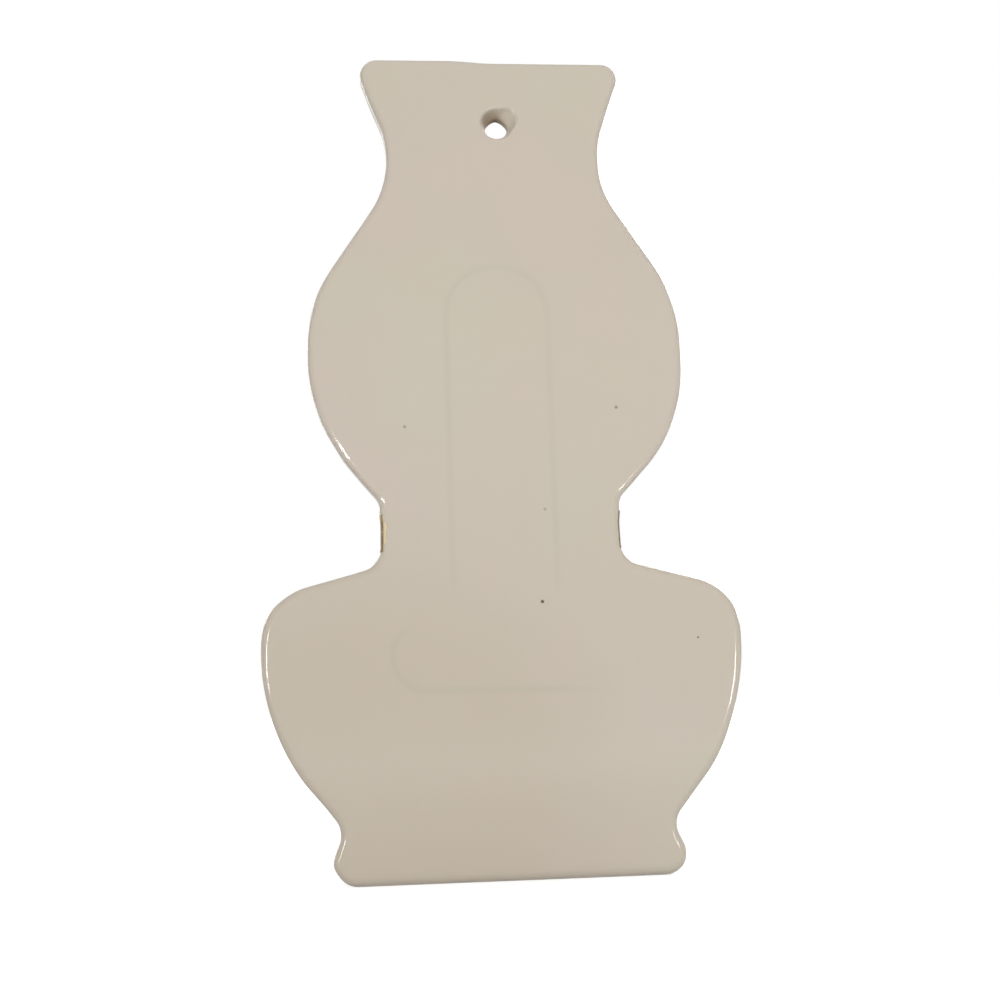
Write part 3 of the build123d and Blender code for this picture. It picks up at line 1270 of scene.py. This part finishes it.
def make_glaze(name, marked):
    """Cream glaze, with or without the marks of the back."""
    material, tree, shader, spot = new_material(name)
    shader.inputs["Roughness"].default_value = glossy
    shader.inputs["IOR"].default_value = glass_bend
    colour = use_group(
        tree, glaze_clouds, Place=spot, Tone=cream, Thin=thin_cream, Pooled=pooled_cream, Size=cream_cloud,
        Strength=cream_cloud_strength,
    )
    height = use_group(tree, glaze_skin, Place=spot, Ripple=cream_ripple, Grain=cream_grain)
    if marked:
        colour = add_painted_shades(tree, spot, colour)
        colour, height = add_pinholes(tree, spot, colour, height)
        colour, rough = add_bare_clay_and_shade(tree, spot, colour)
        fill(tree, shader.inputs["Roughness"], rough)
    bump = add_node(tree, "ShaderNodeBump", Height=height, Strength=glaze_bump, Distance=bump_height)
    fill(tree, shader.inputs["Base Color"], colour)
    fill(tree, shader.inputs["Normal"], bump.outputs[0])
    return material


def dress(piece, material):
    """Give a piece its one material."""
    piece.data.materials.clear()
    piece.data.materials.append(material)


dress(back_slab, make_glaze("cream_glaze_back", True))
dress(gourd_front, make_glaze("cream_glaze_front", False))
print("dressed", back_slab.name, "and", gourd_front.name)

# %% [markdown]
# ## The gold
# Fired lustre is real metal, so the shader is fully metallic. It is bright where it lies smoothly on
# the front, and pale where its ends run out on the back. On the edge of the slab it is brown and duller:
# partly lustre painted thin or handled, partly painted shade for gold seen edge-on, which is why the
# right edge is brown all over. The depth from the wall tells the three apart.

# %% Gold lustre
gold = (0.75, 0.54, 0.23, 1)
light_gold = (0.80, 0.62, 0.32, 1)
deep_gold = (0.66, 0.45, 0.17, 1)
# Brown of thin or handled lustre, which also serves as painted shade for gold seen edge-on.
burnt_and_shaded_gold = (0.20, 0.16, 0.10, 1)
thin_gold = (0.56, 0.475, 0.33, 1)
gold_cloud, gold_cloud_strength = 11.0, 0.6
gold_ripple, gold_grain, gold_bump = 5.0, 0.9, 0.3
wear_scale, wear_detail = 420.0, 3.0
worn_edges, worn_least = (0.32, 0.5), 0.6
edge_behind = (-0.00035, -0.0008)
edge_before = (-0.0095, -0.0075)
ends_behind = (-0.0012, -0.0005)
matt_edge, matt_rough = (-0.0075, -0.006), 0.6
polish = (0.16, 0.34)


def gold_tint(tree, spot, depth, wear):
    """Colour of the gold: clouded, pale at its ends, and brown on the slab's edge, partly wear and partly
    painted shade.
    """
    colour = use_group(
        tree, glaze_clouds, Place=spot, Tone=gold, Thin=light_gold, Pooled=deep_gold, Size=gold_cloud,
        Strength=gold_cloud_strength,
    )
    side = add_range(tree, depth["Y"], *edge_behind)
    front = add_range(tree, depth["Y"], *edge_before)
    edge = add_math(tree, "MULTIPLY", side, front)
    worn = add_range(tree, wear, *worn_edges, worn_least, 1.0)
    # The right edge is seen edge-on, so it is brown all over: painted shade.
    right_edge_shade = add_math(tree, "LESS_THAN", depth["X"], middle_x)
    amount = add_math(tree, "MULTIPLY", edge, add_math(tree, "MAXIMUM", worn, right_edge_shade))
    colour = mix_in(tree, colour, thin_gold, add_range(tree, depth["Y"], *ends_behind))
    return mix_in(tree, colour, burnt_and_shaded_gold, amount)


def make_lustre():
    """Gold lustre."""
    material, tree, shader, spot = new_material("gold_lustre")
    shader.inputs["Metallic"].default_value = 1.0
    depth = add_node(tree, "ShaderNodeSeparateXYZ", Vector=spot).outputs
    wear = add_node(tree, "ShaderNodeTexNoise", Vector=spot, Scale=wear_scale, Detail=wear_detail).outputs[0]
    skin = use_group(tree, glaze_skin, Place=spot, Ripple=gold_ripple, Grain=gold_grain)
    polished = add_range(tree, wear, 0.0, 1.0, *polish, soft=False)
    matt = add_range(tree, depth["Y"], *matt_edge, 0.0, matt_rough, soft=False)
    bump = add_node(tree, "ShaderNodeBump", Height=skin, Strength=gold_bump, Distance=bump_height)
    fill(tree, shader.inputs["Base Color"], gold_tint(tree, spot, depth, wear))
    fill(tree, shader.inputs["Roughness"], add_math(tree, "MAXIMUM", polished, matt))
    fill(tree, shader.inputs["Normal"], bump.outputs[0])
    return material


dress(lustre_band, make_lustre())
print("dressed", lustre_band.name)

# %% [markdown]
# ## Floor and room
# The vase is photographed on white. The floor and the world look plain white to the camera, and to
# reflections, but light the vase only as strongly as a pale room would. So white is a matter of what
# the camera sees, and the glaze keeps its own colour.

# %% White floor and world
room_light = 0.45
white = (1, 1, 1, 1)
floor_white = 0.50
floor_rough = 0.9
floor_glow = 0.72
glow_from, glow_to = 0.35, 0.9
floor_half = 3.0


def seen_directly(tree):
    """1 for rays from the camera, and for reflections and sight through glass."""
    path = add_node(tree, "ShaderNodeLightPath").outputs
    seen = add_math(tree, "MAXIMUM", path["Is Camera Ray"], path["Is Glossy Ray"])
    return add_math(tree, "MAXIMUM", seen, path["Is Transmission Ray"])


def make_world():
    """Room that lights the vase softly and looks white."""
    world = bpy.data.worlds.new("pale_room")
    bpy.context.scene.world = world
    world.use_nodes = True
    tree = world.node_tree
    background = tree.nodes["Background"]
    background.inputs["Color"].default_value = white
    strength = add_range(tree, seen_directly(tree), 0.0, 1.0, room_light, 1.0, soft=False)
    fill(tree, background.inputs["Strength"], strength)


def make_floor():
    """White floor that keeps the vase's shadow."""
    corners = [(x * floor_half, y * floor_half, base_z) for x, y in ((-1, -1), (1, -1), (1, 1), (-1, 1))]
    mesh = bpy.data.meshes.new("floor")
    mesh.from_pydata(corners, [], [(0, 1, 2, 3)])
    floor = bpy.data.objects.new("floor", mesh)
    bpy.context.scene.collection.objects.link(floor)
    material, tree, shader, spot = new_material("white_floor")
    shader.inputs["Base Color"].default_value = (floor_white, floor_white, floor_white, 1)
    shader.inputs["Roughness"].default_value = floor_rough
    shader.inputs["Emission Color"].default_value = white
    share = add_range(tree, add_vector_math(tree, "LENGTH", spot), glow_from, glow_to, floor_glow, 1.0)
    fill(tree, shader.inputs["Emission Strength"], add_math(tree, "MULTIPLY", seen_directly(tree), share))
    floor.data.materials.append(material)


make_world()
make_floor()
print("white floor at", round(base_z, 4))

# %% [markdown]
# ## Lamps
# A soft lamp behind the camera lights the back, and two light the front. The photograph also shows
# small glints on the slab's rounded edge. They come from two narrow lamps, one on either side of the
# camera, which light the slab and the gold alone: on the front they would draw hard white lines.

# %% Lamps
def add_lamp(name, spot, aim, size, power, shows=True):
    """Square lamp at a spot, turned towards the aim."""
    light = bpy.data.lights.new(name, "AREA")
    light.shape = "RECTANGLE"
    light.size, light.size_y = size
    light.energy = power
    lamp = bpy.data.objects.new(name, light)
    lamp.location = Vector(spot)
    lamp.rotation_euler = (Vector(aim) - Vector(spot)).to_track_quat("-Z", "Y").to_euler()
    lamp.visible_glossy = shows
    bpy.context.scene.collection.objects.link(lamp)
    return lamp


def add_strip(name, start, end, aim, width, power, pieces):
    """Narrow lamp between two spots, turned towards the aim, only seen as a glint on some pieces."""
    start, end = Vector(start), Vector(end)
    spot = (start + end) / 2
    lamp = add_lamp(name, spot, aim, ((end - start).length, width), power)
    along = (end - start).normalized()
    aside = (spot - Vector(aim)).cross(along).normalized()
    lamp.rotation_euler = Matrix((along, aside, along.cross(aside))).transposed().to_euler()
    lamp.visible_diffuse = False
    lamp.light_linking.receiver_collection = pieces


vase_middle = place(0, total_height / 2, 20)
back_pieces = bpy.data.collections.new("back_pieces")
for piece in (back_slab, lustre_band):
    back_pieces.objects.link(piece)
add_lamp("soft_behind_camera", (-0.04, 0.87, -0.2), vase_middle, (0.8, 0.8), 9.0, shows=False)
add_lamp("soft_front_left", (-0.9, -1.3, 0.5), vase_middle, (0.6, 1.1), 14.0)
add_lamp("soft_front_right", (1.1, -1.1, 0.2), vase_middle, (0.45, 1.0), 7.5)
left_ends = place(290, 161, -765), place(553, -15, -604)
right_ends = place(-352, 88, -737), place(-556, -128, -554)
add_strip("glint_left", *left_ends, vase_middle, 0.022, 1.3, back_pieces)
add_strip("glint_right", *right_ends, vase_middle, 0.03, 1.5, back_pieces)

# %% [markdown]
# ## The camera
# The photograph looks at the back from a little below its middle and a little to one side, from less
# than half a metre away. The lens and the distance go together: a longer lens would flatten the
# taper that the photograph shows between the base and the top.

# %% Camera
camera_spot = (0.04037, 0.45926, -0.20798)
camera_aim = (0.0025, -0.0025, -0.1421)
camera_roll = radians(-1.62)
camera_lens = 46.8
film_width = 36


def make_camera():
    """Camera at its spot, turned to its aim and then rolled a little."""
    forward = (Vector(camera_aim) - Vector(camera_spot)).normalized()
    level = forward.cross(Vector((0, 0, 1))).normalized()
    upright = level.cross(forward)
    right = level * cos(camera_roll) + upright * sin(camera_roll)
    up = right.cross(forward)
    data = bpy.data.cameras.new("camera")
    data.lens = camera_lens
    data.sensor_width = film_width
    camera = bpy.data.objects.new("camera", data)
    turn = Matrix((right, up, -forward)).transposed().to_4x4()
    camera.matrix_world = Matrix.Translation(camera_spot) @ turn
    bpy.context.scene.collection.objects.link(camera)
    bpy.context.scene.camera = camera
    return camera


camera = make_camera()
bpy.context.scene.view_settings.view_transform = "Standard"
print("camera at", [round(value, 3) for value in camera.location])
